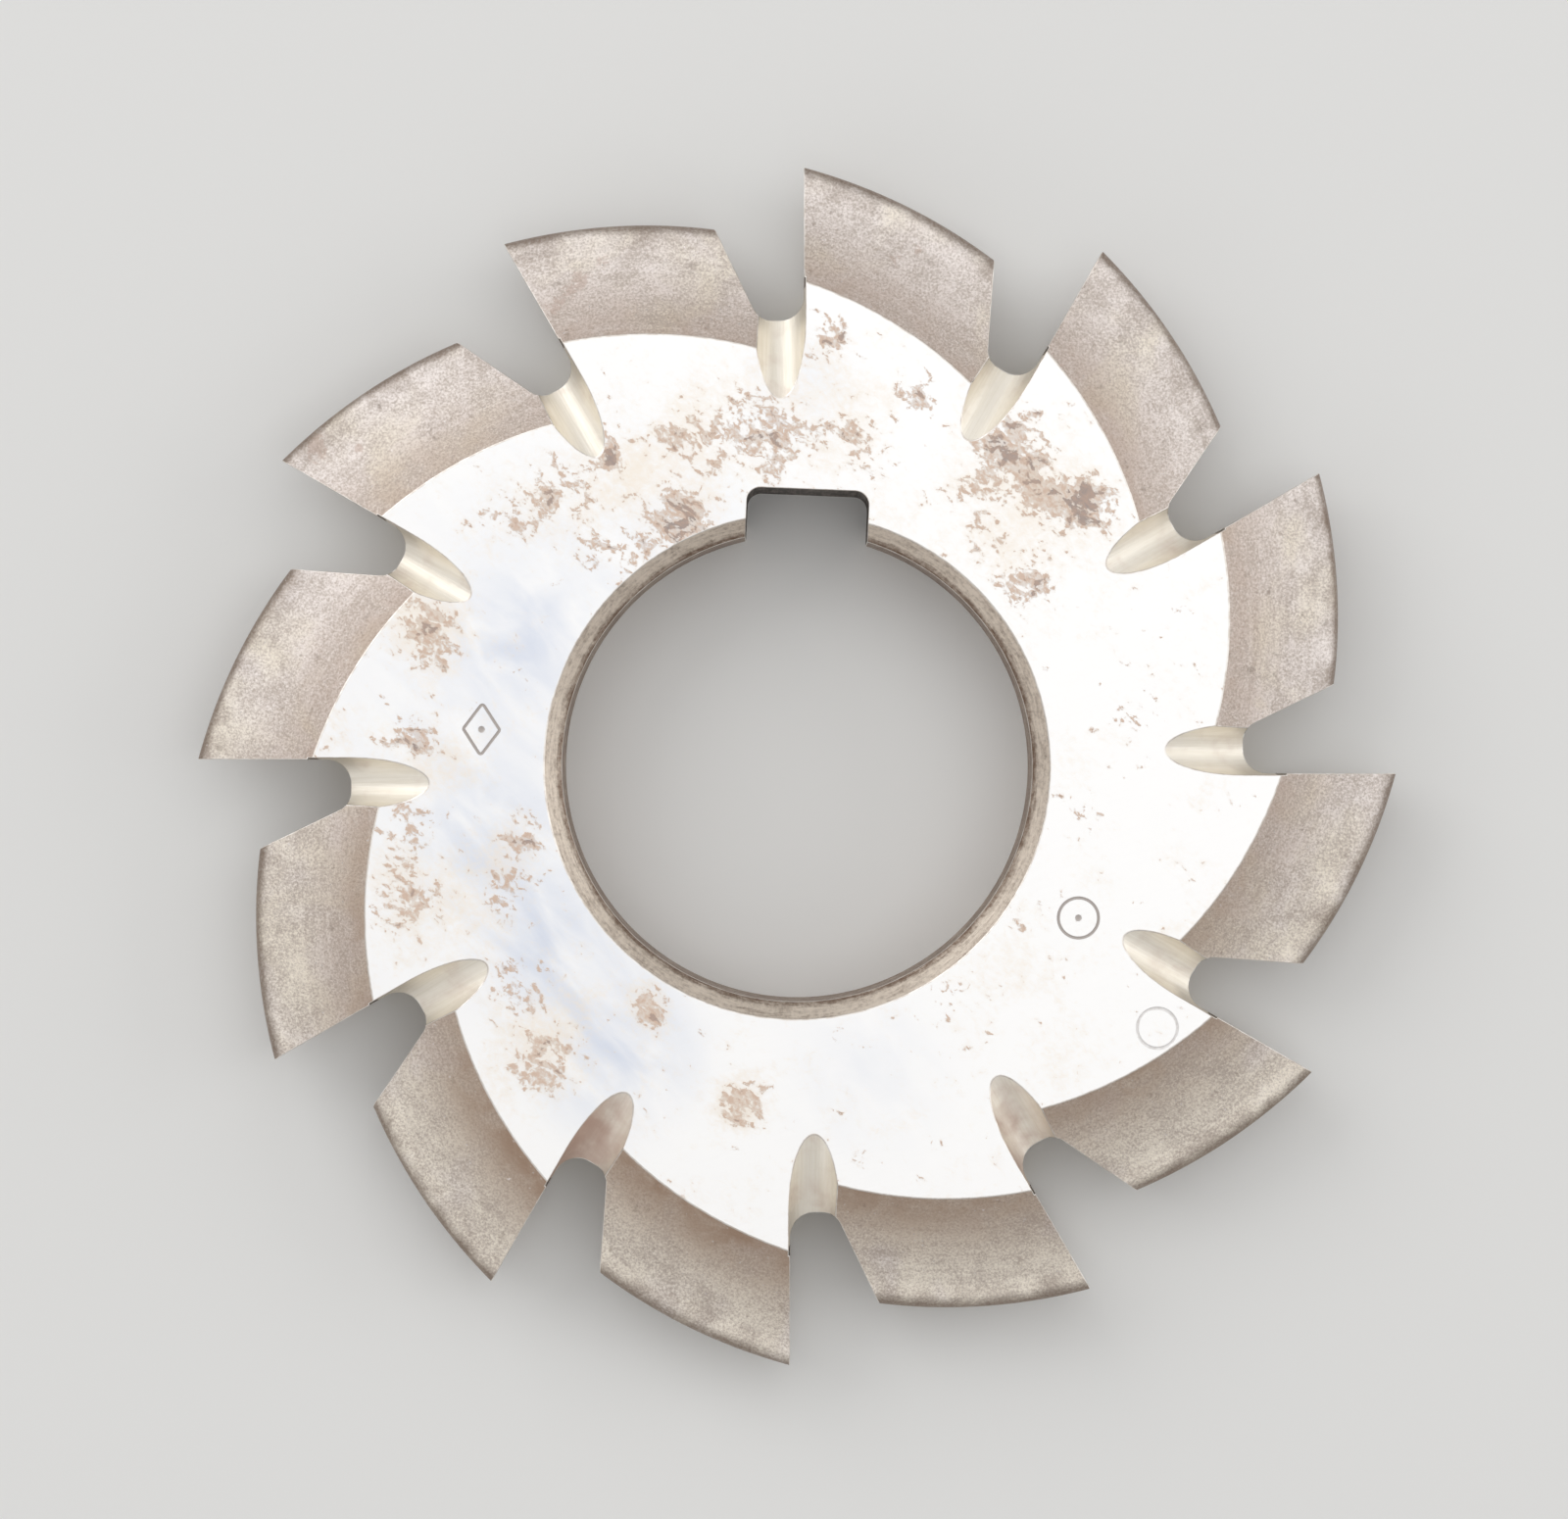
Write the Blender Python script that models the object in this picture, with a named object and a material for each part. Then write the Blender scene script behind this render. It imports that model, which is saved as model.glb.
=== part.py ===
"""Disc cutter for milling the gaps between gear teeth, ground from one blank of high-speed steel.

The axis is +Z and the origin is the middle of the bore, halfway through the disc. The keyway points
to +Y. Seen from +Z, every tooth has its cutting face on its anticlockwise side and falls away
clockwise.
"""

import math

import bmesh
import bpy
from mathutils import Matrix, Vector

MM = 0.001

# The disc and its bore.
OUTER_DIAMETER = 69.3 * MM
WIDTH = 8.0 * MM
BORE_DIAMETER = 27.0 * MM
BORE_CHAMFER = 1.0 * MM
KEYWAY_WIDTH = 7.0 * MM
KEYWAY_DEPTH = 2.4 * MM  # from the bore's wall to the keyway's floor
KEYWAY_CORNER = 0.8 * MM

# The teeth, and the gear that they are shaped for.
TOOTH_COUNT = 12
RELIEF_PER_PITCH = 4.7 * MM  # how far a tooth's back falls towards the axis in one pitch
TIP_CORNER = 0.9 * MM
MODULE = 3.0 * MM
GEAR_TEETH = 35
PRESSURE_ANGLE = math.radians(20)
ROOT_DEPTH_SHARE = 1.2  # a gear's root lies this many modules inside its pitch circle

# The flutes between the teeth, each cut straight through along the axis.
FLUTE_DEPTH = 8.95 * MM  # from the tip circle to the flute's floor
FLUTE_FLOOR = 2.6 * MM  # across the floor, corner to corner, before rounding
FACE_SETBACK = 0.4 * MM  # from the flute's centre line to the cutting face
HEEL_ANGLE = math.radians(25.4)  # the tooth's back wall against the cutting face
FACE_ROUNDING = 1.38 * MM
HEEL_ROUNDING = 1.03 * MM
FLUTE_FROM_KEYWAY = math.radians(2.3)

# The boat-shaped scoops that open each flute towards both sides of the disc.
SCOOP_REACH = 4.63 * MM  # past the flute's floor, along the side of the disc
SCOOP_DEPTH = 1.93 * MM  # down the flute's floor from the side of the disc
SCOOP_WIDTH = 2.9 * MM
SCOOP_ROUND = 1.75 * MM  # height of the half-ellipse that forms the scoop's bottom
SCOOP_UNDERCUT = 0.09 * MM  # how far it bites into the plane of the cutting face
SCOOP_RUN_IN = 1.5 * MM  # how far the scooping tool goes on into the flute

# How finely curves are divided.
RELIEF_STEPS = 7
FORM_STEPS = 5
ROUNDING_STEPS = 3
NOSE_STEPS = 4
OVERRUN = 3.0 * MM  # how far a cutter stands out of what it cuts
PAST_TIP = math.radians(0.3)  # the blank has a section this little past each tooth's tip
STEP_DOWN_FROM = 0.15  # between these shares of a flute's floor the blank steps down to the next tooth
STEP_DOWN_TO = 0.35
SMOOTH_BELOW = math.radians(30)

OUTER_RADIUS = OUTER_DIAMETER / 2
BORE_RADIUS = BORE_DIAMETER / 2
SIDE = WIDTH / 2
FLOOR_RADIUS = OUTER_RADIUS - FLUTE_DEPTH
PITCH = 2 * math.pi / TOOTH_COUNT
TIP_ANGLE = -math.asin(FACE_SETBACK / OUTER_RADIUS)  # a tooth's tip, from the flute's centre line
GEAR_PITCH_RADIUS = MODULE * GEAR_TEETH / 2
GEAR_BASE_RADIUS = GEAR_PITCH_RADIUS * math.cos(PRESSURE_ANGLE)
GEAR_ROOT_RADIUS = GEAR_PITCH_RADIUS - ROOT_DEPTH_SHARE * MODULE


def clear_scene():
    for thing in list(bpy.data.objects):
        bpy.data.objects.remove(thing)


def rounded(before, corner, after, radius, steps):
    """Points of the arc that rounds the corner between two straight lines, first line to second."""
    corner = Vector(corner)
    first = (Vector(before) - corner).normalized()
    second = (Vector(after) - corner).normalized()
    half = first.angle(second) / 2
    centre = corner + (first + second).normalized() * radius / math.sin(half)
    start = corner + first * radius / math.tan(half) - centre
    turn = start.angle_signed(corner + second * radius / math.tan(half) - centre)
    return [centre + Matrix.Rotation(-turn * k / steps, 2) @ start for k in range(steps + 1)]


def involute(angle):
    return math.tan(angle) - angle


def form_half_width(depth):
    """Half the gap between two teeth of the gear, where the cutter is this far in from its tip."""
    radius = GEAR_ROOT_RADIUS + depth
    pressure = math.acos(GEAR_BASE_RADIUS / max(radius, GEAR_BASE_RADIUS))
    return radius * (math.pi / (2 * GEAR_TEETH) - involute(PRESSURE_ANGLE) + involute(pressure))


def form_depth(half_width):
    """How far in from the tip the form is this wide, by halving the span that it must lie in."""
    low, high = 0.0, OUTER_RADIUS
    for _ in range(50):
        middle = (low + high) / 2
        if form_half_width(middle) < half_width:
            low = middle
        else:
            high = middle
    return (low + high) / 2


def tooth_form():
    """Upper half of the tooth's section: (height, depth below the tip), from tip to disc side."""
    straight = 2 * TIP_CORNER
    corner = (form_half_width(0), 0)
    down = (form_half_width(straight), straight)
    points = [tuple(p) for p in rounded((0, 0), corner, down, TIP_CORNER, ROUNDING_STEPS)]
    start, end = points[-1][1], form_depth(SIDE)
    for k in range(1, FORM_STEPS + 1):
        depth = start + (end - start) * k / FORM_STEPS
        points.append((form_half_width(depth), depth))
    points[-1] = (SIDE, end)
    return points


def section(tip_radius, form):
    """One closed loop of (radius, height) round the disc's material, where its tip has this radius."""
    inner = [
        (BORE_RADIUS + BORE_CHAMFER, -SIDE),
        (BORE_RADIUS, BORE_CHAMFER - SIDE),
        (BORE_RADIUS, SIDE - BORE_CHAMFER),
        (BORE_RADIUS + BORE_CHAMFER, SIDE),
    ]
    upper = [(tip_radius - depth, height) for height, depth in reversed(form)]
    lower = [(radius, -height) for radius, height in reversed(upper)]
    return inner + upper + lower


def blank_stations():
    """(angle, tip radius) round the disc. Once a pitch it steps down, where a flute will be cut."""
    floor_angle = FLUTE_FLOOR / FLOOR_RADIUS
    start = floor_angle * STEP_DOWN_TO - PITCH
    end = TIP_ANGLE + PAST_TIP
    angles = [start + (end - start) * k / RELIEF_STEPS for k in range(RELIEF_STEPS + 1)]
    angles.append(floor_angle * STEP_DOWN_FROM)
    stations = []
    for tooth in range(TOOTH_COUNT):
        for angle in angles:
            radius = OUTER_RADIUS + RELIEF_PER_PITCH * (angle - TIP_ANGLE) / PITCH
            stations.append((angle + tooth * PITCH, radius))
    return stations


def link(name, mesh):
    thing = bpy.data.objects.new(name, mesh)
    bpy.context.scene.collection.objects.link(thing)
    return thing


def blank():
    """The relieved disc before fluting: one ring of sections, with its first flute centred on +X."""
    form = tooth_form()
    build = bmesh.new()
    rings = []
    for angle, tip_radius in blank_stations():
        around = Matrix.Rotation(angle, 4, "Z")
        loop = section(tip_radius, form)
        rings.append([build.verts.new(around @ Vector((r, 0, z))) for r, z in loop])
    for ring, following in zip(rings, rings[1:] + rings[:1]):
        for k in range(len(ring)):
            after = (k + 1) % len(ring)
            build.faces.new((ring[k], following[k], following[after], ring[after]))
    bmesh.ops.recalc_face_normals(build, faces=build.faces)
    mesh = bpy.data.meshes.new("gear_cutter")
    build.to_mesh(mesh)
    build.free()
    return link("gear_cutter", mesh)


def add_prism(build, outline, start, along, across, up):
    """Adds a closed prism: an outline of 2-D points, placed by its two axes, swept along a vector."""
    near = [build.verts.new(start + across * p[0] + up * p[1]) for p in outline]
    far = [build.verts.new(vert.co + along) for vert in near]
    build.faces.new(near)
    build.faces.new(far[::-1])
    for k in range(len(near)):
        after = (k + 1) % len(near)
        build.faces.new((near[k], far[k], far[after], near[after]))


def add_through_prism(build, outline):
    """Adds a prism that stands out of both sides of the disc, from an outline seen from above."""
    start = Vector((0, 0, -SIDE - OVERRUN))
    along = Vector((0, 0, WIDTH + 2 * OVERRUN))
    add_prism(build, outline, start, along, Vector((1, 0, 0)), Vector((0, 1, 0)))


def repeated(build):
    """Copies what has been built round the axis, once for each tooth."""
    first = list(build.verts) + list(build.edges) + list(build.faces)
    for tooth in range(1, TOOTH_COUNT):
        copy = bmesh.ops.duplicate(build, geom=first)["geom"]
        verts = [item for item in copy if isinstance(item, bmesh.types.BMVert)]
        bmesh.ops.rotate(build, verts=verts, matrix=Matrix.Rotation(tooth * PITCH, 3, "Z"))


def cutter(name, build):
    bmesh.ops.recalc_face_normals(build, faces=build.faces)
    mesh = bpy.data.meshes.new(name)
    build.to_mesh(mesh)
    build.free()
    thing = link(name, mesh)
    thing.hide_render = True
    thing.display_type = "WIRE"
    return thing


def flute_cutter():
    """A flute's outline, x outwards and y anticlockwise: cutting face, floor, then heel."""
    top = OUTER_RADIUS + OVERRUN
    face_foot = (FLOOR_RADIUS, -FACE_SETBACK)
    heel_foot = (FLOOR_RADIUS, FLUTE_FLOOR - FACE_SETBACK)
    face_top = (top, -FACE_SETBACK)
    heel_top = (top, heel_foot[1] + (top - FLOOR_RADIUS) * math.tan(HEEL_ANGLE))
    outline = [face_top]
    outline += rounded(face_top, face_foot, heel_foot, FACE_ROUNDING, ROUNDING_STEPS)
    outline += rounded(face_foot, heel_foot, heel_top, HEEL_ROUNDING, ROUNDING_STEPS)
    outline.append(heel_top)
    build = bmesh.new()
    add_through_prism(build, outline)
    repeated(build)
    return cutter("flute_cutter", build)


def scoop_outline():
    """Half an ellipse under straight walls, as (across the scoop, out of its keel)."""
    half = SCOOP_WIDTH / 2
    outline = [(half, SCOOP_WIDTH)]
    for k in range(2 * NOSE_STEPS + 1):
        turn = math.pi * k / (2 * NOSE_STEPS)
        outline.append((half * math.cos(turn), SCOOP_ROUND * (1 - math.sin(turn))))
    outline.append((-half, SCOOP_WIDTH))
    return outline


def scoop_cutter():
    """Two sloping passes for each flute, in from the disc's sides and stopping short of its middle."""
    slope = math.atan2(SCOOP_REACH, SCOOP_DEPTH)
    centre = SCOOP_WIDTH / 2 - FACE_SETBACK - SCOOP_UNDERCUT
    run_out = OVERRUN / math.sin(slope)
    build = bmesh.new()
    for side in (1, -1):
        inwards = Vector((math.sin(slope), 0, -side * math.cos(slope)))
        out_of_floor = Vector((math.cos(slope), 0, side * math.sin(slope)))
        tip = Vector((FLOOR_RADIUS - SCOOP_REACH, centre, side * SIDE))
        run = run_out + math.hypot(SCOOP_REACH, SCOOP_DEPTH) + SCOOP_RUN_IN
        start = tip - inwards * run_out
        add_prism(build, scoop_outline(), start, inwards * run, Vector((0, 1, 0)), out_of_floor)
    repeated(build)
    return cutter("scoop_cutter", build)


def keyway_cutter():
    half = KEYWAY_WIDTH / 2
    floor = BORE_RADIUS + KEYWAY_DEPTH
    foot = BORE_RADIUS - OVERRUN
    outline = [(-half, foot), (half, foot)]
    outline += rounded((half, foot), (half, floor), (-half, floor), KEYWAY_CORNER, ROUNDING_STEPS)
    outline += rounded((half, floor), (-half, floor), (-half, foot), KEYWAY_CORNER, ROUNDING_STEPS)
    build = bmesh.new()
    add_through_prism(build, outline)
    return cutter("keyway_cutter", build)


def steel():
    material = bpy.data.materials.new("ground_steel")
    material.use_nodes = True
    shader = material.node_tree.nodes["Principled BSDF"]
    shader.inputs["Base Color"].default_value = (0.62, 0.60, 0.57, 1)
    shader.inputs["Metallic"].default_value = 1.0
    shader.inputs["Roughness"].default_value = 0.35
    return material


def cut(piece, tool):
    modifier = piece.modifiers.new(tool.name, "BOOLEAN")
    modifier.operation = "DIFFERENCE"
    modifier.solver = "EXACT"
    modifier.object = tool


def settle(piece):
    """Turns the piece with its cuts into a plain mesh, so that only its real edges are shaded sharp."""
    bpy.context.view_layer.update()
    evaluated = piece.evaluated_get(bpy.context.evaluated_depsgraph_get())
    mesh = bpy.data.meshes.new_from_object(evaluated)
    piece.modifiers.clear()
    piece.data = mesh
    mesh.shade_smooth()
    mesh.set_sharp_from_angle(angle=SMOOTH_BELOW)


def gear_cutter():
    piece = blank()
    flute_angle = math.pi / 2 + FLUTE_FROM_KEYWAY
    flutes, scoops = flute_cutter(), scoop_cutter()
    for thing in (piece, flutes, scoops):
        thing.data.transform(Matrix.Rotation(flute_angle, 4, "Z"))
    for tool in (flutes, scoops, keyway_cutter()):
        cut(piece, tool)
    settle(piece)
    piece.data.materials.clear()
    piece.data.materials.append(steel())
    return piece


clear_scene()
gear_cutter()
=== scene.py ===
# %% [markdown]
# # A gear milling cutter
# This is a disc of high-speed steel with twelve teeth. It is clamped on a milling arbor and cuts the gaps
# between the teeth of a gear, one gap at a time. It is a single piece of steel, so it is modelled as one
# mesh, and nearly all of its looks come from what was done to each surface: some are ground bright, some
# are left matte from heat treatment, and a drawer has left stains on all of them.
#
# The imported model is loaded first. It fixes the size and the place, and everything here is made to fit
# it.

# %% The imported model
import math

import bmesh
import bpy
from mathutils import Matrix, Vector


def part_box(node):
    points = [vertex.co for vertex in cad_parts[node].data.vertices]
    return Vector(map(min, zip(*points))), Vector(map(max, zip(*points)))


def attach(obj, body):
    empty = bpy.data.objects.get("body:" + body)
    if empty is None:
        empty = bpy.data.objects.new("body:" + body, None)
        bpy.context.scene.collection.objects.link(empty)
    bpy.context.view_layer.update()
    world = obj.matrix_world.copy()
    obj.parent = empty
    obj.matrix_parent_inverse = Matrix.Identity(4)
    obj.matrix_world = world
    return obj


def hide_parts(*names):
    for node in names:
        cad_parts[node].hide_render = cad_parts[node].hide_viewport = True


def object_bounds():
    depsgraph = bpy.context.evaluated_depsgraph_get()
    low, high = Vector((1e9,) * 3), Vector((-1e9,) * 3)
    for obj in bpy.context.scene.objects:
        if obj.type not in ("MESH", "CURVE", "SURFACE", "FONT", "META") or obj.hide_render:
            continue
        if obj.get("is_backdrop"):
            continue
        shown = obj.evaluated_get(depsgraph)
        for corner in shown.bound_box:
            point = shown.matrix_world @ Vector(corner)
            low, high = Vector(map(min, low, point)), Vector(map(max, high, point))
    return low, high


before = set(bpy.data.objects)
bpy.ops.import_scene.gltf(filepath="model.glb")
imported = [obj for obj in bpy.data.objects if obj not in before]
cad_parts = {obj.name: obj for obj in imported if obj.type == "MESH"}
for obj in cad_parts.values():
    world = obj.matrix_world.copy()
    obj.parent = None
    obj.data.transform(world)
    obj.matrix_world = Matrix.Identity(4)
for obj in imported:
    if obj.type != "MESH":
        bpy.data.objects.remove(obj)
cad_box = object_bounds()
MM = 0.001
low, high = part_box("gear_cutter")
print("the packed cutter measures", [round((b - a) / MM, 2) for a, b in zip(low, high)], "mm")

# %% [markdown]
# ## The camera
# The disc lies flat and is seen from straight above. A long lens a third of a metre away still shows a
# little of the bore's wall, as a short lens would exaggerate it and a parallel view would hide it. The
# camera is turned by a couple of degrees and stands slightly off the axis, as a camera held by hand does.

# %% The camera
CAMERA_HEIGHT = 330 * MM
VIEW_WIDTH = 90.9 * MM  # what the picture spans at the disc's middle plane
CAMERA_TURN = math.radians(2.3)
CAMERA_OFFSET = Vector((-0.75 * MM, 0.40 * MM, 0))  # towards the picture's right and its top


def put_in_scene(name, data):
    """Makes an object from a mesh, a lamp or a camera, and links it to the scene."""
    thing = bpy.data.objects.new(name, data)
    bpy.context.scene.collection.objects.link(thing)
    return thing


camera = put_in_scene("camera", bpy.data.cameras.new("camera"))
above = Matrix.Translation(CAMERA_OFFSET + Vector((0, 0, CAMERA_HEIGHT)))
camera.matrix_world = Matrix.Rotation(CAMERA_TURN, 4, "Z") @ above
camera.data.lens = camera.data.sensor_width * CAMERA_HEIGHT / VIEW_WIDTH
bpy.context.scene.camera = camera
print("the lens is", round(camera.data.lens), "mm")

# %% [markdown]
# ## The floor
# A pale, plain floor. It is one large square under the disc, marked as stage so that it isn't taken for a
# part of the cutter. A plane from the Add menu would do as well; a mesh from four points needs no
# operator.

# %% The floor
FLOOR_HALF = 2.0
FLOOR_COLOUR = (0.78, 0.78, 0.77, 1)
FLOOR_ROUGHNESS = 0.9

floor_mesh = bpy.data.meshes.new("floor")
corners = [(-1, -1), (1, -1), (1, 1), (-1, 1)]
places = [(x * FLOOR_HALF, y * FLOOR_HALF, low.z) for x, y in corners]
floor_mesh.from_pydata(places, [], [(0, 1, 2, 3)])
floor_paint = bpy.data.materials.new("floor_paint")
floor_paint.use_nodes = True
floor_shader = floor_paint.node_tree.nodes["Principled BSDF"]
floor_shader.inputs["Base Color"].default_value = FLOOR_COLOUR
floor_shader.inputs["Roughness"].default_value = FLOOR_ROUGHNESS
floor_mesh.materials.append(floor_paint)
floor = put_in_scene("floor", floor_mesh)
floor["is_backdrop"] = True
print("the floor lies at", round(low.z / MM, 2), "mm")

# %% [markdown]
# ## The light
# Bare metal shows what it reflects. The flat sides mirror whatever hangs right above them, so a large
# soft light there makes them almost white. The tooth backs slope outwards and mirror the room nearer the
# horizon, so they look darker although they are the same steel. A second soft light at the upper left
# lifts the teeth on that side. Two low, weak ones at the right and the lower left draw out the rounded
# tips, the scoops and the chamfer across the bore, and the plain grey world fills in the rest.

# %% The world and the lights
WORLD_COLOUR = (1, 0.99, 0.98, 1)
WORLD_STRENGTH = 0.46
bpy.context.scene.view_settings.view_transform = "Standard"

world = bpy.data.worlds.new("studio")
world.use_nodes = True
background = world.node_tree.nodes["Background"]
background.inputs["Color"].default_value = WORLD_COLOUR
background.inputs["Strength"].default_value = WORLD_STRENGTH
bpy.context.scene.world = world


def soft_light(name, place, size, power):
    """A square light turned to face the disc. Its place and size are in metres, its power in watts."""
    lamp = bpy.data.lights.new(name, "AREA")
    lamp.shape = "SQUARE"
    lamp.size = size
    lamp.energy = power
    thing = put_in_scene(name, lamp)
    thing.location = place
    thing.rotation_euler = Vector(place).to_track_quat("Z", "Y").to_euler()
    print(name, "stands", round(Vector(place).length, 2), "m from the disc")


soft_light("overhead", (0.12, 0.15, 0.75), 0.9, 2.05)
soft_light("upper_left", (-0.64, 0.54, 0.55), 0.8, 3.2)
soft_light("low_right", (0.78, 0.16, 0.24), 0.6, 1.5)
soft_light("low_left", (-0.60, -0.52, 0.28), 0.6, 0.45)

# %% [markdown]
# ## The disc's sizes
# These are the sizes of the real tool: a 27 mm bore with a 7 mm keyway is what a standard arbor takes.
# The outer radius isn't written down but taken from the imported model. A tooth's tip stands a little off
# the line through the axis, because the cutting face is set back from the flute's centre line, so the
# box's edge is divided by the cosine of the angle at which the nearest tip stands.

# %% Sizes of the disc
SIDE = (high.z - low.z) / 2
BORE_RADIUS = 13.5 * MM
BORE_CHAMFER = 1.0 * MM
TOOTH_COUNT = 12
PITCH = 2 * math.pi / TOOTH_COUNT
RELIEF_PER_PITCH = 4.7 * MM
FACE_SETBACK = 0.4 * MM
FLUTE_FROM_KEYWAY = math.radians(2.3)  # between the middles of the keyway and of the first flute
FIRST_FLUTE = math.pi / 2 + FLUTE_FROM_KEYWAY
TIP_ANGLE = -math.asin(FACE_SETBACK / high.x)
OUTER_RADIUS = high.x / math.cos(FLUTE_FROM_KEYWAY + TIP_ANGLE)
print("the tips lie on a circle of", round(2 * OUTER_RADIUS / MM, 2), "mm")

# %% [markdown]
# ## Rounded corners
# Flutes, tooth tips and the keyway all have rounded corners, so one helper makes them. It takes two
# straight lines that meet in a corner, finds the circle that touches both, and returns points along the
# arc between the two touching points. A Bevel modifier could round corners too, but here the arc is part
# of an outline that is swept into a cutting tool later, so it is needed as points.

# %% An arc in a corner
ROUNDING_STEPS = 10


def rounded(before, corner, after, radius):
    """Points of the arc that rounds a corner between two straight lines, first line to second."""
    corner = Vector(corner)
    first = (Vector(before) - corner).normalized()
    second = (Vector(after) - corner).normalized()
    half = first.angle(second) / 2
    centre = corner + (first + second).normalized() * radius / math.sin(half)
    start = corner + first * radius / math.tan(half) - centre
    turn = start.angle_signed(corner + second * radius / math.tan(half) - centre)
    turns = [-turn * k / ROUNDING_STEPS for k in range(ROUNDING_STEPS + 1)]
    return [centre + Matrix.Rotation(angle, 2) @ start for angle in turns]


# %% [markdown]
# ## The tooth form
# The teeth have the shape of the gap that they cut. In a gear that gap is bounded by two involutes, the
# curve that the end of a taut string draws as it unwinds from a circle. The half width of the gap at any
# radius follows from the involute function, so the form is computed and needs no list of points. Near the
# tip the form is almost upright, and further in it opens out until it is as wide as the disc.

# %% The form of a tooth
MODULE = 3.0 * MM
GEAR_TEETH = 35
PRESSURE_ANGLE = math.radians(20)
ROOT_DEPTH_SHARE = 1.2  # the gear's root lies this many modules inside its pitch circle
TIP_CORNER = 0.9 * MM
FORM_STEPS = 14
HALVINGS = 50
GEAR_PITCH_RADIUS = MODULE * GEAR_TEETH / 2
GEAR_BASE_RADIUS = GEAR_PITCH_RADIUS * math.cos(PRESSURE_ANGLE)
GEAR_ROOT_RADIUS = GEAR_PITCH_RADIUS - ROOT_DEPTH_SHARE * MODULE


def involute(angle):
    """How far round the circle the curve has got where the pressure angle is this large."""
    return math.tan(angle) - angle


def form_half_width(depth):
    """Half the gap between two teeth of the gear, where the cutter is this far in from its tip."""
    radius = GEAR_ROOT_RADIUS + depth
    pressure = math.acos(GEAR_BASE_RADIUS / max(radius, GEAR_BASE_RADIUS))
    return radius * (math.pi / (2 * GEAR_TEETH) - involute(PRESSURE_ANGLE) + involute(pressure))


def form_depth(half_width):
    """How far in from the tip the form is this wide, by halving the span that it must lie in."""
    shallow, deep = 0.0, OUTER_RADIUS
    for _ in range(HALVINGS):
        middle = (shallow + deep) / 2
        if form_half_width(middle) < half_width:
            shallow = middle
        else:
            deep = middle
    return (shallow + deep) / 2


def tooth_form():
    """Upper half of the tooth's section: (height, depth below the tip), from tip to disc side."""
    straight = 2 * TIP_CORNER
    corner = (form_half_width(0), 0)
    down = (form_half_width(straight), straight)
    points = [tuple(p) for p in rounded((0, 0), corner, down, TIP_CORNER)]
    start, end = points[-1][1], form_depth(SIDE)
    for k in range(1, FORM_STEPS + 1):
        depth = start + (end - start) * k / FORM_STEPS
        points.append((form_half_width(depth), depth))
    points[-1] = (SIDE, end)
    return points


TIP_HALF_WIDTH = form_half_width(0)
print("a tip is", round(2 * TIP_HALF_WIDTH / MM, 2), "mm wide, and meets the sides",
      round(form_depth(SIDE) / MM, 2), "mm further in")

# %% [markdown]
# ## Surfaces and their finishes
# A face of a mesh can carry a material of its own. That is a good way to keep finishes apart on one
# solid: the material goes on when the face is made, and the boolean cuts below carry it over, so every
# ground, milled or broached surface still knows how it was made. The materials are empty for now, because
# only their places in the list matter while the shape is built.

# %% One empty material for each finish
FINISHES = ("ground", "flank", "face", "flute", "scoop", "bore", "keyway", "mark", "edge")
finish_slots = {name: bpy.data.materials.new("steel_" + name) for name in FINISHES}
print(len(finish_slots), "finishes")


def new_mesh(name, build):
    """Turns a finished bmesh into an object that can carry every finish."""
    bmesh.ops.recalc_face_normals(build, faces=build.faces)
    mesh = bpy.data.meshes.new(name)
    build.to_mesh(mesh)
    build.free()
    for finish in FINISHES:
        mesh.materials.append(finish_slots[finish])
    return put_in_scene(name, mesh)


def join_rings(build, rings, finishes):
    """Joins a closed row of point rings with faces. Each side of the rings has its own finish."""
    for ring, following in zip(rings, rings[1:] + rings[:1]):
        for k in range(len(ring)):
            after = (k + 1) % len(ring)
            face = build.faces.new((ring[k], following[k], following[after], ring[after]))
            face.material_index = FINISHES.index(finishes[k])


# %% [markdown]
# ## The relieved blank
# Behind its cutting edge each tooth falls towards the axis by a steady amount per degree, which is called
# relief. It lets the tooth be sharpened on its flat face again and again without changing its form. A
# lathe makes it with a cam that pushes the form tool in once for every tooth. Here the same thing is done
# with sections: each section is the outline of the disc at one angle, its tooth form moved in by the
# relief at that angle, and neighbouring sections are joined. Where the relief jumps back out, a flute is
# cut later.

# %% The section and where the sections stand
RELIEF_STEPS = 24
FLUTE_FLOOR = 2.6 * MM
FLUTE_DEPTH = 8.95 * MM
FLOOR_RADIUS = OUTER_RADIUS - FLUTE_DEPTH
PAST_TIP = math.radians(0.3)
STEP_DOWN_FROM = 0.15  # shares of a flute's floor, between which the blank steps down to the next tooth
STEP_DOWN_TO = 0.35


def section(tip_radius, form):
    """(radius, height, finish of the face that follows) round the disc's material at one angle."""
    inner = [
        (BORE_RADIUS + BORE_CHAMFER, -SIDE, "bore"),
        (BORE_RADIUS, BORE_CHAMFER - SIDE, "bore"),
        (BORE_RADIUS, SIDE - BORE_CHAMFER, "bore"),
        (BORE_RADIUS + BORE_CHAMFER, SIDE, "ground"),
    ]
    upper = [(tip_radius - depth, height) for height, depth in reversed(form)]
    lower = [(radius, -height) for radius, height in reversed(upper)]
    outer = [(radius, height, "flank") for radius, height in upper + lower]
    outer[-1] = (*outer[-1][:2], "ground")
    return inner + outer


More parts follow.
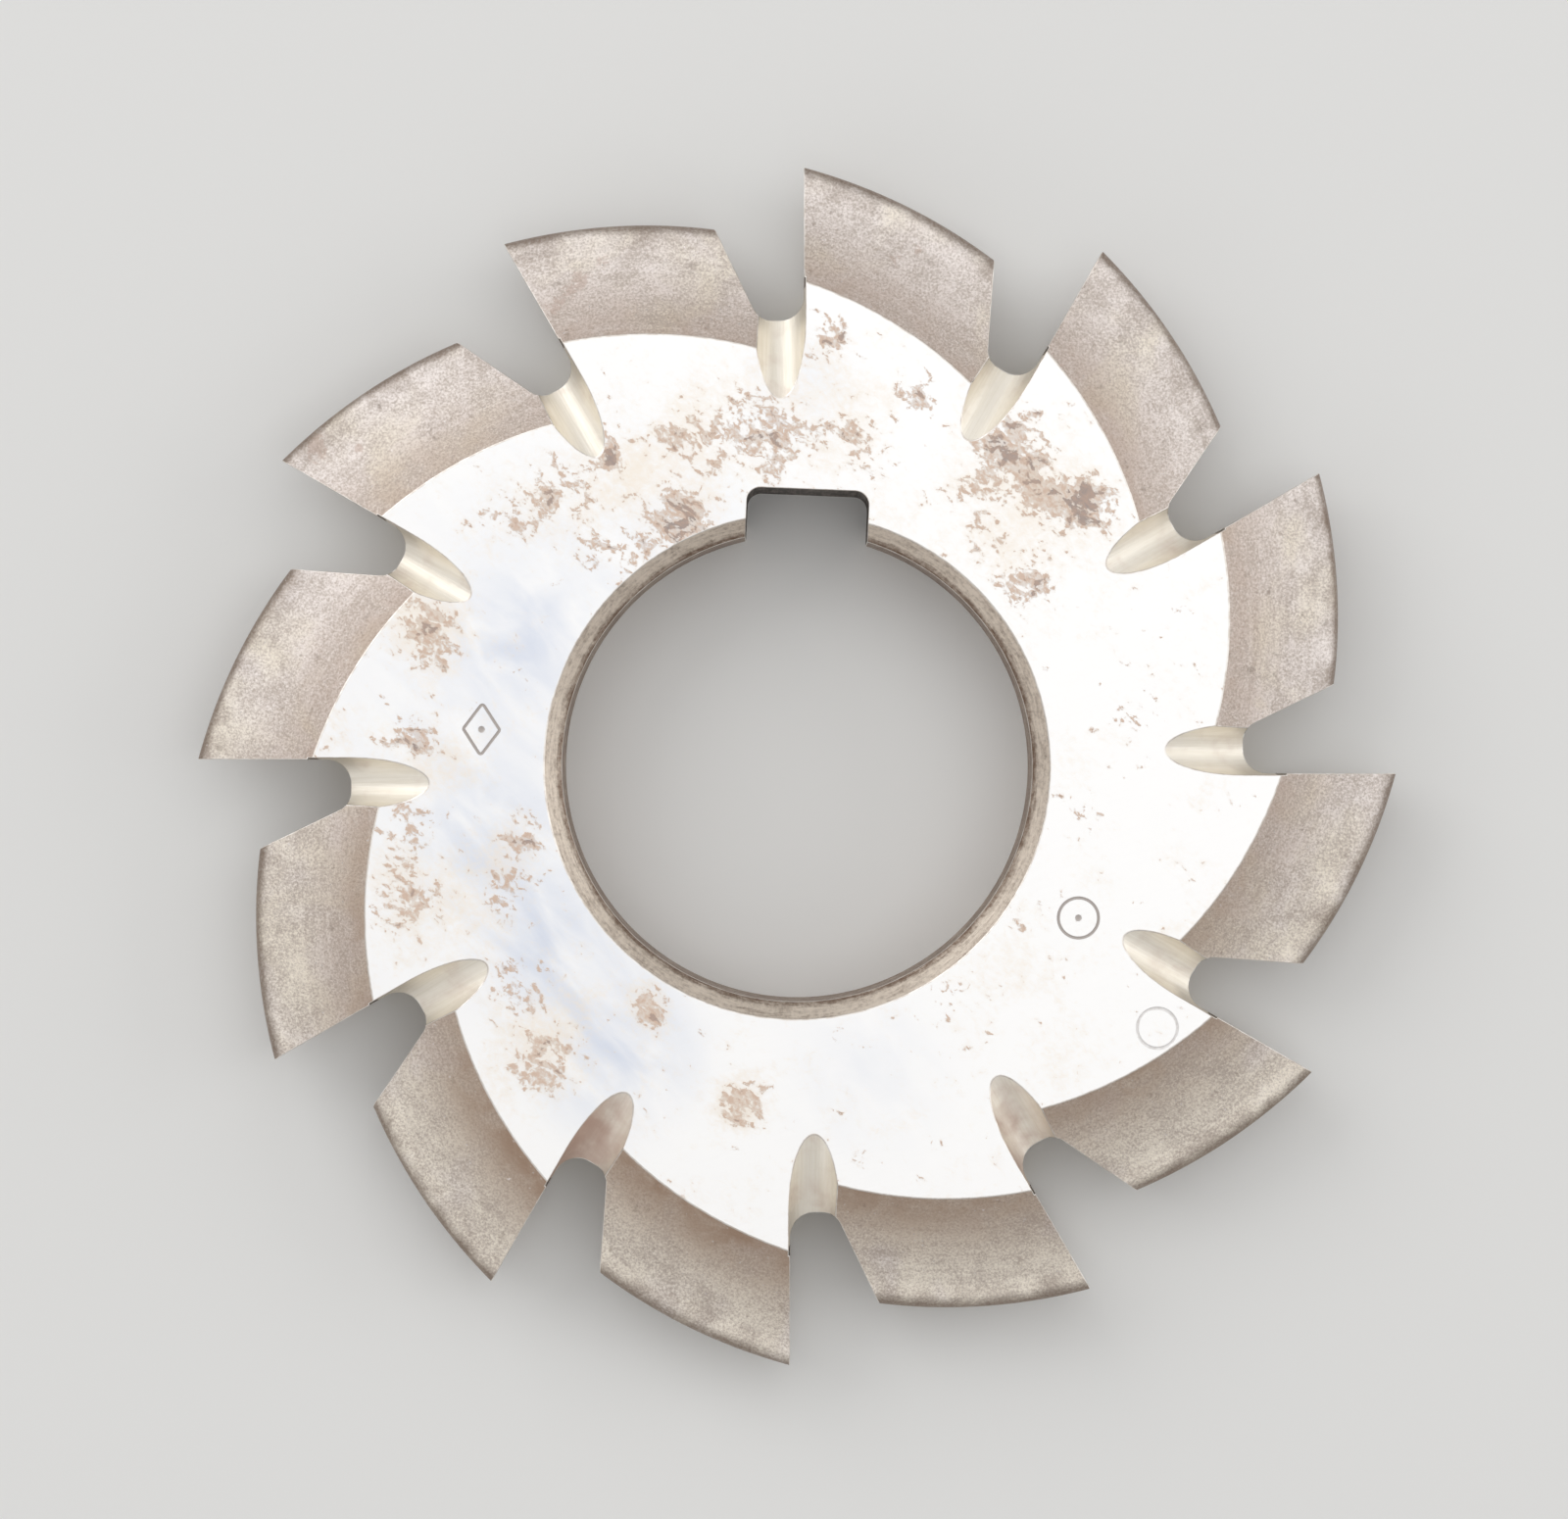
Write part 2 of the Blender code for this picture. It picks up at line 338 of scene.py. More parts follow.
def blank_stations():
    """(angle, tip radius) round the disc. Once a pitch it steps down, where a flute will be cut."""
    floor_angle = FLUTE_FLOOR / FLOOR_RADIUS
    start = floor_angle * STEP_DOWN_TO - PITCH
    end = TIP_ANGLE + PAST_TIP
    angles = [start + (end - start) * k / RELIEF_STEPS for k in range(RELIEF_STEPS + 1)]
    angles.append(floor_angle * STEP_DOWN_FROM)
    stations = []
    for tooth in range(TOOTH_COUNT):
        for angle in angles:
            radius = OUTER_RADIUS + RELIEF_PER_PITCH * (angle - TIP_ANGLE) / PITCH
            stations.append((angle + tooth * PITCH, radius))
    return stations


# %% The blank
def blank():
    """The whole disc with its relieved teeth, before anything is cut."""
    form = tooth_form()
    build = bmesh.new()
    rings = []
    for angle, tip_radius in blank_stations():
        around = Matrix.Rotation(angle, 4, "Z")
        loop = section(tip_radius, form)
        rings.append([build.verts.new(around @ Vector((r, 0, z))) for r, z, _ in loop])
    join_rings(build, rings, [finish for _, _, finish in loop])
    return new_mesh("milling_cutter", build)


cutter = blank()
print("the blank has", len(cutter.data.polygons), "faces")

# %% [markdown]
# ## Cutting tools as solids
# Milling cutters sweep a profile along a straight line, and so do the solids that stand for them here. An
# outline is placed by two axes and swept along a third. Each side of the prism leaves its finish on the
# wall that it cuts. What happens once per tooth is built once and then copied round the axis.

# %% Prisms
OVERRUN = 3.0 * MM  # how far a tool stands out of what it cuts


def add_prism(build, outline, start, along, across, up, finishes):
    """Adds a closed prism. The last finish serves for all the sides that are left."""
    near = [build.verts.new(start + across * p[0] + up * p[1]) for p in outline]
    far = [build.verts.new(vert.co + along) for vert in near]
    build.faces.new(near)
    build.faces.new(far[::-1])
    for k in range(len(near)):
        after = (k + 1) % len(near)
        face = build.faces.new((near[k], far[k], far[after], near[after]))
        face.material_index = FINISHES.index(finishes[min(k, len(finishes) - 1)])


def add_through_prism(build, outline, finishes):
    """Adds a prism that stands out of both sides of the disc, from an outline seen from above."""
    start = Vector((0, 0, -SIDE - OVERRUN))
    along = Vector((0, 0, 2 * (SIDE + OVERRUN)))
    add_prism(build, outline, start, along, Vector((1, 0, 0)), Vector((0, 1, 0)), finishes)


def repeat_round_axis(build):
    """Copies what has been built round the axis, once for each tooth."""
    first = list(build.verts) + list(build.edges) + list(build.faces)
    for tooth in range(1, TOOTH_COUNT):
        copy = bmesh.ops.duplicate(build, geom=first)["geom"]
        verts = [item for item in copy if isinstance(item, bmesh.types.BMVert)]
        bmesh.ops.rotate(build, verts=verts, matrix=Matrix.Rotation(tooth * PITCH, 3, "Z"))


# %% [markdown]
# ## Flutes
# A flute is the gap that gives the chips room. One wall is the cutting face, which is ground flat and
# holds the cutting edge. The other wall is the back, or heel, of the tooth ahead, and it leans away. The
# floor between them is rounded into both, because a sharp inner corner would crack in hardening.

# %% The flute tool
HEEL_ANGLE = math.radians(25.4)
FACE_ROUNDING = 1.38 * MM
HEEL_ROUNDING = 1.03 * MM


def flute_tool():
    """A prism for each flute, standing out of the rim and of both sides."""
    top = OUTER_RADIUS + OVERRUN
    face_foot = (FLOOR_RADIUS, -FACE_SETBACK)
    heel_foot = (FLOOR_RADIUS, FLUTE_FLOOR - FACE_SETBACK)
    face_top = (top, -FACE_SETBACK)
    heel_top = (top, heel_foot[1] + (top - FLOOR_RADIUS) * math.tan(HEEL_ANGLE))
    outline = [face_top]
    outline += rounded(face_top, face_foot, heel_foot, FACE_ROUNDING)
    outline += rounded(face_foot, heel_foot, heel_top, HEEL_ROUNDING)
    outline.append(heel_top)
    build = bmesh.new()
    add_through_prism(build, outline, ["face", "flute"])
    repeat_round_axis(build)
    return new_mesh("flute_tool", build)


flutes = flute_tool()
print("the flutes reach down to a radius of", round(FLOOR_RADIUS / MM, 2), "mm")

# %% [markdown]
# ## Scoops
# From both sides a small boat-shaped scoop runs down into every flute. It gives the grinding wheel that
# sharpens the cutting face room to run out. Each scoop is one straight, sloping pass of a tool with a
# rounded bottom, and the pointed boat shape on the side face is simply where that round bottom leaves the
# flat. The bottom is half an ellipse, so the point comes out blunt and the scoop has no crease along its
# middle.

# %% The scoop tool
SCOOP_REACH = 4.63 * MM  # past the flute's floor, along the side of the disc
SCOOP_DEPTH = 1.93 * MM  # down the flute's floor from the side of the disc
SCOOP_WIDTH = 2.9 * MM
SCOOP_ROUND = 1.75 * MM  # height of the half-ellipse that forms the scoop's bottom
SCOOP_UNDERCUT = 0.09 * MM  # how far it bites into the plane of the cutting face
SCOOP_RUN_IN = 1.5 * MM  # how far the scooping tool goes on into the flute
SCOOP_MIDDLE = SCOOP_WIDTH / 2 - FACE_SETBACK - SCOOP_UNDERCUT  # from the flute's centre line
NOSE_STEPS = 16


def scoop_outline():
    """Half an ellipse under straight walls, as (across the scoop, out of its keel)."""
    half = SCOOP_WIDTH / 2
    outline = [(half, SCOOP_WIDTH)]
    for k in range(2 * NOSE_STEPS + 1):
        turn = math.pi * k / (2 * NOSE_STEPS)
        outline.append((half * math.cos(turn), SCOOP_ROUND * (1 - math.sin(turn))))
    outline.append((-half, SCOOP_WIDTH))
    return outline


def scoop_tool():
    """Two sloping passes for each flute, in from the disc's sides and stopping short of its middle."""
    slope = math.atan2(SCOOP_REACH, SCOOP_DEPTH)
    run_out = OVERRUN / math.sin(slope)
    run = run_out + math.hypot(SCOOP_REACH, SCOOP_DEPTH) + SCOOP_RUN_IN
    across = Vector((0, 1, 0))
    build = bmesh.new()
    for side in (1, -1):
        inwards = Vector((math.sin(slope), 0, -side * math.cos(slope)))
        out_of_floor = Vector((math.cos(slope), 0, side * math.sin(slope)))
        tip = Vector((FLOOR_RADIUS - SCOOP_REACH, SCOOP_MIDDLE, side * SIDE))
        start = tip - inwards * run_out
        add_prism(build, scoop_outline(), start, inwards * run, across, out_of_floor, ["scoop"])
    repeat_round_axis(build)
    print("the scoops slope at", round(90 - math.degrees(slope)), "degrees to the side faces")
    return new_mesh("scoop_tool", build)


scoops = scoop_tool()

# %% [markdown]
# ## Keyway
# The keyway takes the key that drives the cutter. A broach pulls it through the bore in one stroke, which
# leaves straight walls along the axis and small rounded corners.

# %% The keyway tool
KEYWAY_WIDTH = 7.0 * MM
KEYWAY_DEPTH = 2.4 * MM  # from the bore's wall to the keyway's floor
KEYWAY_CORNER = 0.8 * MM


def keyway_tool():
    """A prism that reaches from inside the bore to the keyway's floor."""
    half = KEYWAY_WIDTH / 2
    floor_line = BORE_RADIUS + KEYWAY_DEPTH
    foot = BORE_RADIUS - OVERRUN
    outline = [(-half, foot), (half, foot)]
    outline += rounded((half, foot), (half, floor_line), (-half, floor_line), KEYWAY_CORNER)
    outline += rounded((half, floor_line), (-half, floor_line), (-half, foot), KEYWAY_CORNER)
    build = bmesh.new()
    add_through_prism(build, outline, ["keyway"])
    return new_mesh("keyway_tool", build)


keyway = keyway_tool()

# %% [markdown]
# ## Punch marks
# Tool makers strike small marks into the soft steel before it is hardened. These are plain ones without
# any meaning: a diamond with a dot on one side of the bore, a ring with a dot on the other, and a faint
# ring near a tooth. A struck line has a rounded bottom, so each line is cut by a thin tube that lies half
# in the steel. Its sides are fine enough that the bottom counts as smooth and only the groove's rims as
# edges.

# %% The punch marks
STROKE_WIDTH = 0.18 * MM
STROKE_SIDES = 32
STROKE_DEPTH = 0.08 * MM
FAINT_DEPTH = 0.03 * MM
DOT_RADIUS = 0.20 * MM
DIAMOND = (1.05 * MM, 1.5 * MM)  # half its width and half its length
DIAMOND_CORNER = 0.14 * MM
RING_RADIUS = 1.15 * MM
RING_STEPS = 48
DOT_STEPS = (32, 24)  # round the dot and from pole to pole
DIAMOND_PLACE = (175.6, 18.2 * MM)  # degrees anticlockwise from +X, and how far from the axis
RING_PLACE = (-26, 18.3 * MM)
FAINT_RING_PLACE = (-33.7, 25.5 * MM)


def add_stroke(build, path, depth):
    """Adds a closed thin tube along a loop of points that lie on the upper side."""
    rings = []
    for before, point, after in zip(path[-1:] + path[:-1], path, path[1:] + path[:1]):
        along = (after - before).normalized()
        outwards = Vector((along.y, -along.x, 0))
        ring = []
        for k in range(STROKE_SIDES):
            turn = 2 * math.pi * k / STROKE_SIDES
            out = outwards * STROKE_WIDTH / 2 * math.cos(turn)
            up = Vector((0, 0, depth * math.sin(turn)))
            ring.append(build.verts.new(point + out + up))
        rings.append(ring)
    join_rings(build, rings, ["mark"] * STROKE_SIDES)


def add_dot(build, centre):
    """Adds a small flattened ball for a centre punch dot."""
    flattened = Matrix.Diagonal((1, 1, STROKE_DEPTH / DOT_RADIUS, 1))
    place = Matrix.Translation(centre) @ flattened
    around, over = DOT_STEPS
    made = bmesh.ops.create_uvsphere(
        build, u_segments=around, v_segments=over, radius=DOT_RADIUS, matrix=place)
    for face in {face for vert in made["verts"] for face in vert.link_faces}:
        face.material_index = FINISHES.index("mark")


def on_side(degrees, radius):
    """A point on the upper side face."""
    angle = math.radians(degrees)
    return Vector((radius * math.cos(angle), radius * math.sin(angle), SIDE))


def ring_path(centre):
    """Points round a ring on the upper side."""
    turns = [2 * math.pi * k / RING_STEPS for k in range(RING_STEPS)]
    return [centre + Vector((math.cos(turn), math.sin(turn), 0)) * RING_RADIUS for turn in turns]


def diamond_path(centre):
    """Points round a diamond with rounded corners on the upper side."""
    wide, long = DIAMOND
    tips = [(wide, 0), (0, long), (-wide, 0), (0, -long)]
    path = []
    for k in range(len(tips)):
        path += rounded(tips[k - 1], tips[k], tips[(k + 1) % len(tips)], DIAMOND_CORNER)
    return [centre + point.to_3d() for point in path]


def punch_tool():
    """Everything that is struck into the upper side."""
    build = bmesh.new()
    diamond = on_side(*DIAMOND_PLACE)
    ring = on_side(*RING_PLACE)
    faint_ring = on_side(*FAINT_RING_PLACE)
    add_stroke(build, diamond_path(diamond), STROKE_DEPTH)
    add_stroke(build, ring_path(ring), STROKE_DEPTH)
    add_stroke(build, ring_path(faint_ring), FAINT_DEPTH)
    add_dot(build, diamond)
    add_dot(build, ring)
    return new_mesh("punch_tool", build)


punches = punch_tool()

# %% [markdown]
# ## Making the cuts
# The tools now cut the blank with Boolean modifiers. The exact solver is the one to use for close, nearly
# touching walls like these, and its transfer mode hands each tool's materials over to the walls that it
# cuts. The blank and the tools that belong to the teeth are turned together first, so that the first
# flute stands almost in line with the keyway. Once the cuts are applied the tools are thrown away.

# %% The cuts
def settle(piece):
    """Turns a piece with its modifiers into a plain mesh."""
    bpy.context.view_layer.update()
    evaluated = piece.evaluated_get(bpy.context.evaluated_depsgraph_get())
    mesh = bpy.data.meshes.new_from_object(evaluated)
    piece.modifiers.clear()
    piece.data = mesh


for thing in (cutter, flutes, scoops):
    thing.data.transform(Matrix.Rotation(FIRST_FLUTE, 4, "Z"))
tools = (flutes, scoops, keyway, punches)
for tool in tools:
    cut = cutter.modifiers.new(tool.name, "BOOLEAN")
    cut.operation = "DIFFERENCE"
    cut.solver = "EXACT"
    cut.material_mode = "TRANSFER"
    cut.object = tool
settle(cutter)
for tool in tools:
    bpy.data.objects.remove(tool)
print("after cutting the mesh has", len(cutter.data.polygons), "faces")

# %% [markdown]
# ## Broken edges
# No real edge is a perfect line. Handling and a quick pass with a stone leave a narrow band that catches
# the light, and without it metal looks like plastic. The Bevel modifier adds such a band and gives it a
# finish of its own. It could pick the edges by their angle, but the punch marks are finer than the band
# and would be spoilt by it. So each edge gets a weight instead: one where two faces meet at a clear
# angle, and nought round the marks. Hardened normals keep the flat faces flat in the light. Where a band
# comes to a point it can lift a vertex by a few thousandths of a millimetre, so the heights are held to
# the disc's thickness.

# %% Edges that catch the light
EDGE_WIDTH = 0.05 * MM
SHARP_ANGLE = math.radians(15)


def weigh_edges(mesh):
    """Gives every sharp edge a bevel weight of one, apart from the rims of the punch marks."""
    mark = FINISHES.index("mark")
    build = bmesh.new()
    build.from_mesh(mesh)
    weights = build.edges.layers.float.new("bevel_weight_edge")
    weighed = 0
    for edge in build.edges:
        marked = mark in [face.material_index for face in edge.link_faces]
        if edge.calc_face_angle(0) > SHARP_ANGLE and not marked:
            edge[weights] = 1
            weighed += 1
    build.to_mesh(mesh)
    build.free()
    return weighed


print(weigh_edges(cutter.data), "edges are broken")
cutter.data.shade_smooth()
cutter.data.set_sharp_from_angle(angle=SHARP_ANGLE)
bevel = cutter.modifiers.new("edges", "BEVEL")
bevel.width = EDGE_WIDTH
bevel.segments = 2
bevel.limit_method = "WEIGHT"
bevel.use_clamp_overlap = False
bevel.harden_normals = True
bevel.material = FINISHES.index("edge")
settle(cutter)
for vert in cutter.data.vertices:
    vert.co.z = min(max(vert.co.z, -SIDE), SIDE)
print("with its edges broken it has", len(cutter.data.polygons), "faces")

# %% [markdown]
# ## Sums in a material
# A material works out a colour at every point of a surface from nodes, and most of the work is plain
# sums. Written as nodes, even `1 - mask` takes several lines. This small class wraps the socket that a
# value comes out of, so that the usual signs add the Math nodes themselves. It is for values only: a
# colour that went through a Math node would come out grey.

# %% Wires
class Wire:
    """One output in a material. The signs + - * and abs() on it add Math nodes."""

    def __init__(self, finish, socket):
        self.finish = finish
        self.socket = socket

    def maths(self, operation, *values):
        """Adds one Math node."""
        return self.finish.node("ShaderNodeMath", {"operation": operation}, dict(enumerate(values)))

    def __add__(self, other):
        return self.maths("ADD", self, other)

    def __sub__(self, other):
        return self.maths("SUBTRACT", self, other)

    def __rsub__(self, other):
        return self.maths("SUBTRACT", other, self)

    def __mul__(self, other):
        return self.maths("MULTIPLY", self, other)

    def __abs__(self):
        return self.maths("ABSOLUTE", self)

    __radd__ = __add__
    __rmul__ = __mul__


# %% [markdown]
# ## A finish
# Every other node comes from one method. It takes the kind of node, its settings, and what goes into its
# sockets, which is either a number, a colour or a wire. Settings come first, because some of them decide
# which sockets a node has. A few short helpers stand on it for what nearly every finish here needs:
# noise, a soft step between two values, and a mix of two colours. The noise gets its place in
# millimetres, so a scale of two means about two blobs to the millimetre.

# %% The finish class
class Finish:
    """The nodes of one material and the shader that they feed."""

    def __init__(self, name):
        material = finish_slots[name]
        material.use_nodes = True
        self.tree = material.node_tree
        self.shader = self.tree.nodes["Principled BSDF"]
        metres = self.node("ShaderNodeTexCoord", output="Object")
        to_mm = {0: metres, "Scale": 1 / MM}
        self.place = self.node("ShaderNodeVectorMath", {"operation": "SCALE"}, to_mm)

    def node(self, kind, settings=None, sockets=None, output=0):
        """Adds a node and returns one of its outputs."""
        made = self.tree.nodes.new(kind)
        for setting, value in (settings or {}).items():
            setattr(made, setting, value)
        for socket, value in (sockets or {}).items():
            self.feed(made.inputs[socket], value)
        return Wire(self, made.outputs[output])

    def feed(self, socket, value):
        """Links a wire to a socket, or sets the socket to a number, a vector or a colour."""
        if isinstance(value, Wire):
            self.tree.links.new(value.socket, socket)
        elif socket.type == "RGBA":
            socket.default_value = (*value, 1)
        else:
            socket.default_value = value

    def noise(self, place, scale, detail=2.0, roughness=0.5, distortion=0.0):
        """Soft blobs with values round a half."""
        sockets = {"Vector": place, "Scale": scale, "Detail": detail, "Roughness": roughness}
        sockets["Distortion"] = distortion
        return self.node("ShaderNodeTexNoise", {}, sockets)

    def step(self, value, start, end):
        """Nought up to the start, one past the end, and a soft slope between them."""
        sockets = {"Value": value, "From Min": start, "From Max": end}
        return self.node("ShaderNodeMapRange", {"interpolation_type": "SMOOTHSTEP"}, sockets)

    def mix(self, share, first, second):
        """A colour between two colours."""
        return self.node("ShaderNodeMix", {"data_type": "RGBA"}, {0: share, 6: first, 7: second}, 2)

    def stretched(self, lengths, degrees=0):
        """The place along turned axes, divided by these lengths, which makes streaks of noise."""
        sockets = {"Vector": self.place, "Rotation": (0, 0, math.radians(degrees)), "Scale": lengths}
        return self.node("ShaderNodeMapping", {"vector_type": "TEXTURE"}, sockets)

    def bump(self, height, depth):
        """Feeds the shader's normal from a height, where a height of one stands this far out."""
        sockets = {"Height": height, "Distance": depth, "Strength": 1.0}
        self.feed(self.shader.inputs["Normal"], self.node("ShaderNodeBump", {}, sockets))

    def wear(self, colour, roughness, metallic):
        """Feeds the shader's colour, how rough it is, and how far it counts as bare metal."""
        for socket, value in (("Base Color", colour), ("Roughness", roughness), ("Metallic", metallic)):
            self.feed(self.shader.inputs[socket], value)


# %% [markdown]
# ## Where on the disc
# Several finishes depend on where a point lies: how far from the axis, at what height, or how far from
# the middle of its flute. The last one is the same for all twelve teeth when the angle is wrapped into
# one pitch. Turned rings need noise that runs on round the axis. Noise over the angle would show a seam
# where the angle jumps from half a turn to minus half a turn. So it is taken over the measure that
# changes from ring to ring and, slowly, over x and y.

# %% Radius, height and place in the flute
def coordinate(finish, axis):
    """Millimetres along one axis."""
    return finish.node("ShaderNodeSeparateXYZ", {}, {0: finish.place}, axis)


def height_of(finish):
    """Millimetres above the disc's middle plane."""
    return coordinate(finish, "Z")


def radius_of(finish):
    """Millimetres from the axis."""
    flat = finish.node("ShaderNodeVectorMath", {"operation": "MULTIPLY"}, {0: finish.place, 1: (1, 1, 0)})
    return finish.node("ShaderNodeVectorMath", {"operation": "LENGTH"}, {0: flat}, "Value")


def angle_of(finish):
    """Angle round the axis, anticlockwise from +X."""
    x, y = coordinate(finish, "X"), coordinate(finish, "Y")
    return x.maths("ARCTAN2", y, x)


def slow_round_axis(finish, quick, slow=0.1):
    """A place for noise that changes quickly along one measure and slowly everywhere else."""
    x, y = coordinate(finish, "X"), coordinate(finish, "Y")
    return finish.node("ShaderNodeCombineXYZ", {}, {"X": quick, "Y": x * slow, "Z": y * slow})


def off_flute(finish):
    """Millimetres to the side of the nearest flute's centre line."""
    wrapped = angle_of(finish) - FIRST_FLUTE
    wrapped = wrapped.maths("WRAP", wrapped, PITCH / 2, -PITCH / 2)
    return radius_of(finish) * wrapped


# %% [markdown]
# ## Stains
# The ground sides have spent years in a drawer, and their dirt comes in patches: a thin cream film of
# dried oil, tan rust, dark flakes where the rust has bitten in, and a blue haze. The bluish grey is also
# painted shade, where broad patches of it darken the left and lower left of the upper side. Noise alone
# would spread these evenly, so short lists say where the patches are, how far each one reaches and how bad
# it is. One list is for the rust, one for the film, one for the haze and the painted shade, one for
# blemishes on the tooth backs and one for the scoops towards the bottom, which turn browner. A patch only
# raises the odds: noise is added to it, and a step on the sum draws the ragged outline. The same patches
# with a lower step give the tan round the dark.

# %% Where the stains are
# Each row is degrees anticlockwise from +X, mm from the axis, mm from its middle to its rim, how bad.
STAINS = (
    (46, 21.6, 2.6, 0.95),
    (51, 21.0, 2.2, 0.80),
    (59, 21.9, 3.6, 0.85),
    (43, 23.0, 2.4, 0.60),
    (60, 18.6, 2.6, 0.45),
    (41, 16.8, 2.6, 0.75),
    (53, 16.6, 2.0, 0.40),
    (74, 22.3, 2.2, 0.75),
    (88, 24.6, 2.4, 0.60),
    (99, 19.2, 4.6, 0.70),
    (111, 20.0, 3.0, 0.50),
    (82, 18.6, 3.4, 0.40),
    (124, 21.0, 2.0, 0.72),
    (118, 15.4, 3.4, 0.95),
    (133, 20.8, 3.0, 0.50),
    (141, 21.8, 3.0, 0.45),
    (133, 16.6, 3.2, 0.45),
    (163, 22.6, 3.6, 0.60),
    (178, 22.0, 2.4, 0.55),
    (191, 22.5, 2.8, 0.55),
    (197, 16.2, 2.0, 0.65),
    (201, 23.6, 3.6, 0.50),
    (206, 17.8, 2.6, 0.50),
    (220, 20.6, 3.2, 0.50),
    (232, 22.2, 3.4, 0.55),
    (241, 16.1, 2.0, 0.62),
    (263, 19.6, 2.2, 0.68),
    (12, 19.6, 2.4, 0.45),
    (-7, 17.0, 2.2, 0.45),
    (-30, 16.0, 2.6, 0.30),
    (-54, 15.6, 3.4, 0.30),
)
FILM = (
    (52, 20.5, 7.5, 1.0),
    (88, 20.5, 7.0, 0.8),
    (118, 18.5, 8.0, 1.0),
    (137, 21.2, 5.0, 0.6),
    (162, 22.6, 4.5, 1.1),
    (180, 21.5, 5.0, 0.8),
    (198, 16.6, 3.6, 0.8),
    (203, 22.0, 6.5, 0.9),
    (230, 22.0, 6.0, 0.9),
    (241, 16.1, 2.6, 1.2),
    (263, 19.6, 3.2, 1.3),
    (-42, 16.5, 5.0, 0.5),
)
BLEMISHES = (
    (110.6, 31.6, 1.2, 0.8),
    (113.4, 31.2, 1.2, 1.0),
    (116.4, 30.7, 1.3, 1.3),
    (118.4, 30.2, 1.0, 1.0),
    (120.4, 29.8, 1.2, 1.1),
    (146.3, 31.2, 0.5, 2.0),
    (149.4, 33.0, 1.5, 1.1),
    (148.0, 33.6, 1.2, 1.0),
    (81.4, 29.7, 1.0, 0.9),
    (79.2, 30.6, 0.9, 0.9),
    (80.6, 28.6, 0.7, 0.8),
    (70.5, 30.5, 0.8, 0.8),
    (59.0, 27.6, 1.0, 0.8),
    (9.0, 33.0, 0.6, 1.4),
)
# Patches where the scoops towards the bottom turn browner.
LOWER_BROWNING = (
    (240, 25, 12.0, 1.0),
    (303, 25, 8.0, 0.7),
    (270, 26, 6.0, 0.2),
)
# Haze and painted shade: the wide patches on the left and lower left darken that side of the upper face.
HAZE_AND_SHADE = (
    (172, 11.0, 24.0, 0.55),
    (157, 17.8, 5.0, 0.6),
    (196, 18.6, 5.5, 0.6),
    (218, 17.8, 6.0, 0.8),
    (240, 19.6, 7.0, 0.9),
    (285, 18.0, 7.0, 0.3),
    (92, 22.0, 5.0, 0.3),
)


def patches(finish, spots):
    """The sum of soft patches on the disc's upper half, each one round when seen from above."""
    to_side = {0: finish.place, 1: (1, 1, 0), 2: (0, 0, SIDE / MM)}
    level = finish.node("ShaderNodeVectorMath", {"operation": "MULTIPLY_ADD"}, to_side)
    total = 0
    for degrees, radius, reach, strength in spots:
        ends = {0: level, 1: on_side(degrees, radius * MM) / MM}
        away = finish.node("ShaderNodeVectorMath", {"operation": "DISTANCE"}, ends, "Value")
        total = finish.step(away, reach, 0) * strength + total
    return total * finish.step(height_of(finish), 0, 1)


for kind, spots in (("rust", STAINS), ("film", FILM), ("haze_and_shade", HAZE_AND_SHADE), ("lower_browning", LOWER_BROWNING)):
    print(len(spots), "patches of", kind)
print(len(BLEMISHES), "blemishes")

# %% [markdown]
# ## Ground side faces
# The sides are ground on a rotary table, which leaves very fine arcs. They hardly show in colour, so they
# are put into the roughness and a faint bump. Film keeps the metal's gloss, while rust isn't metal any
# more: the metallic value falls and the roughness rises wherever it has formed. Haze is smeared, as by a
# wiping hand, so its noise is stretched along a slanting line. Where it spreads wide over the left it is
# painted shade. The lower side has stains of its own, made by slow noise alone.

# %% The ground finish
GROUND_STEEL = (0.90, 0.895, 0.89)
HAZE_AND_SHADE_BLUE = (0.68, 0.72, 0.81)
OIL_FILM = (0.87, 0.79, 0.69)
TAN_RUST = (0.74, 0.58, 0.475)
BROWN_RUST = (0.50, 0.37, 0.31)
DARK_RUST = (0.34, 0.27, 0.25)


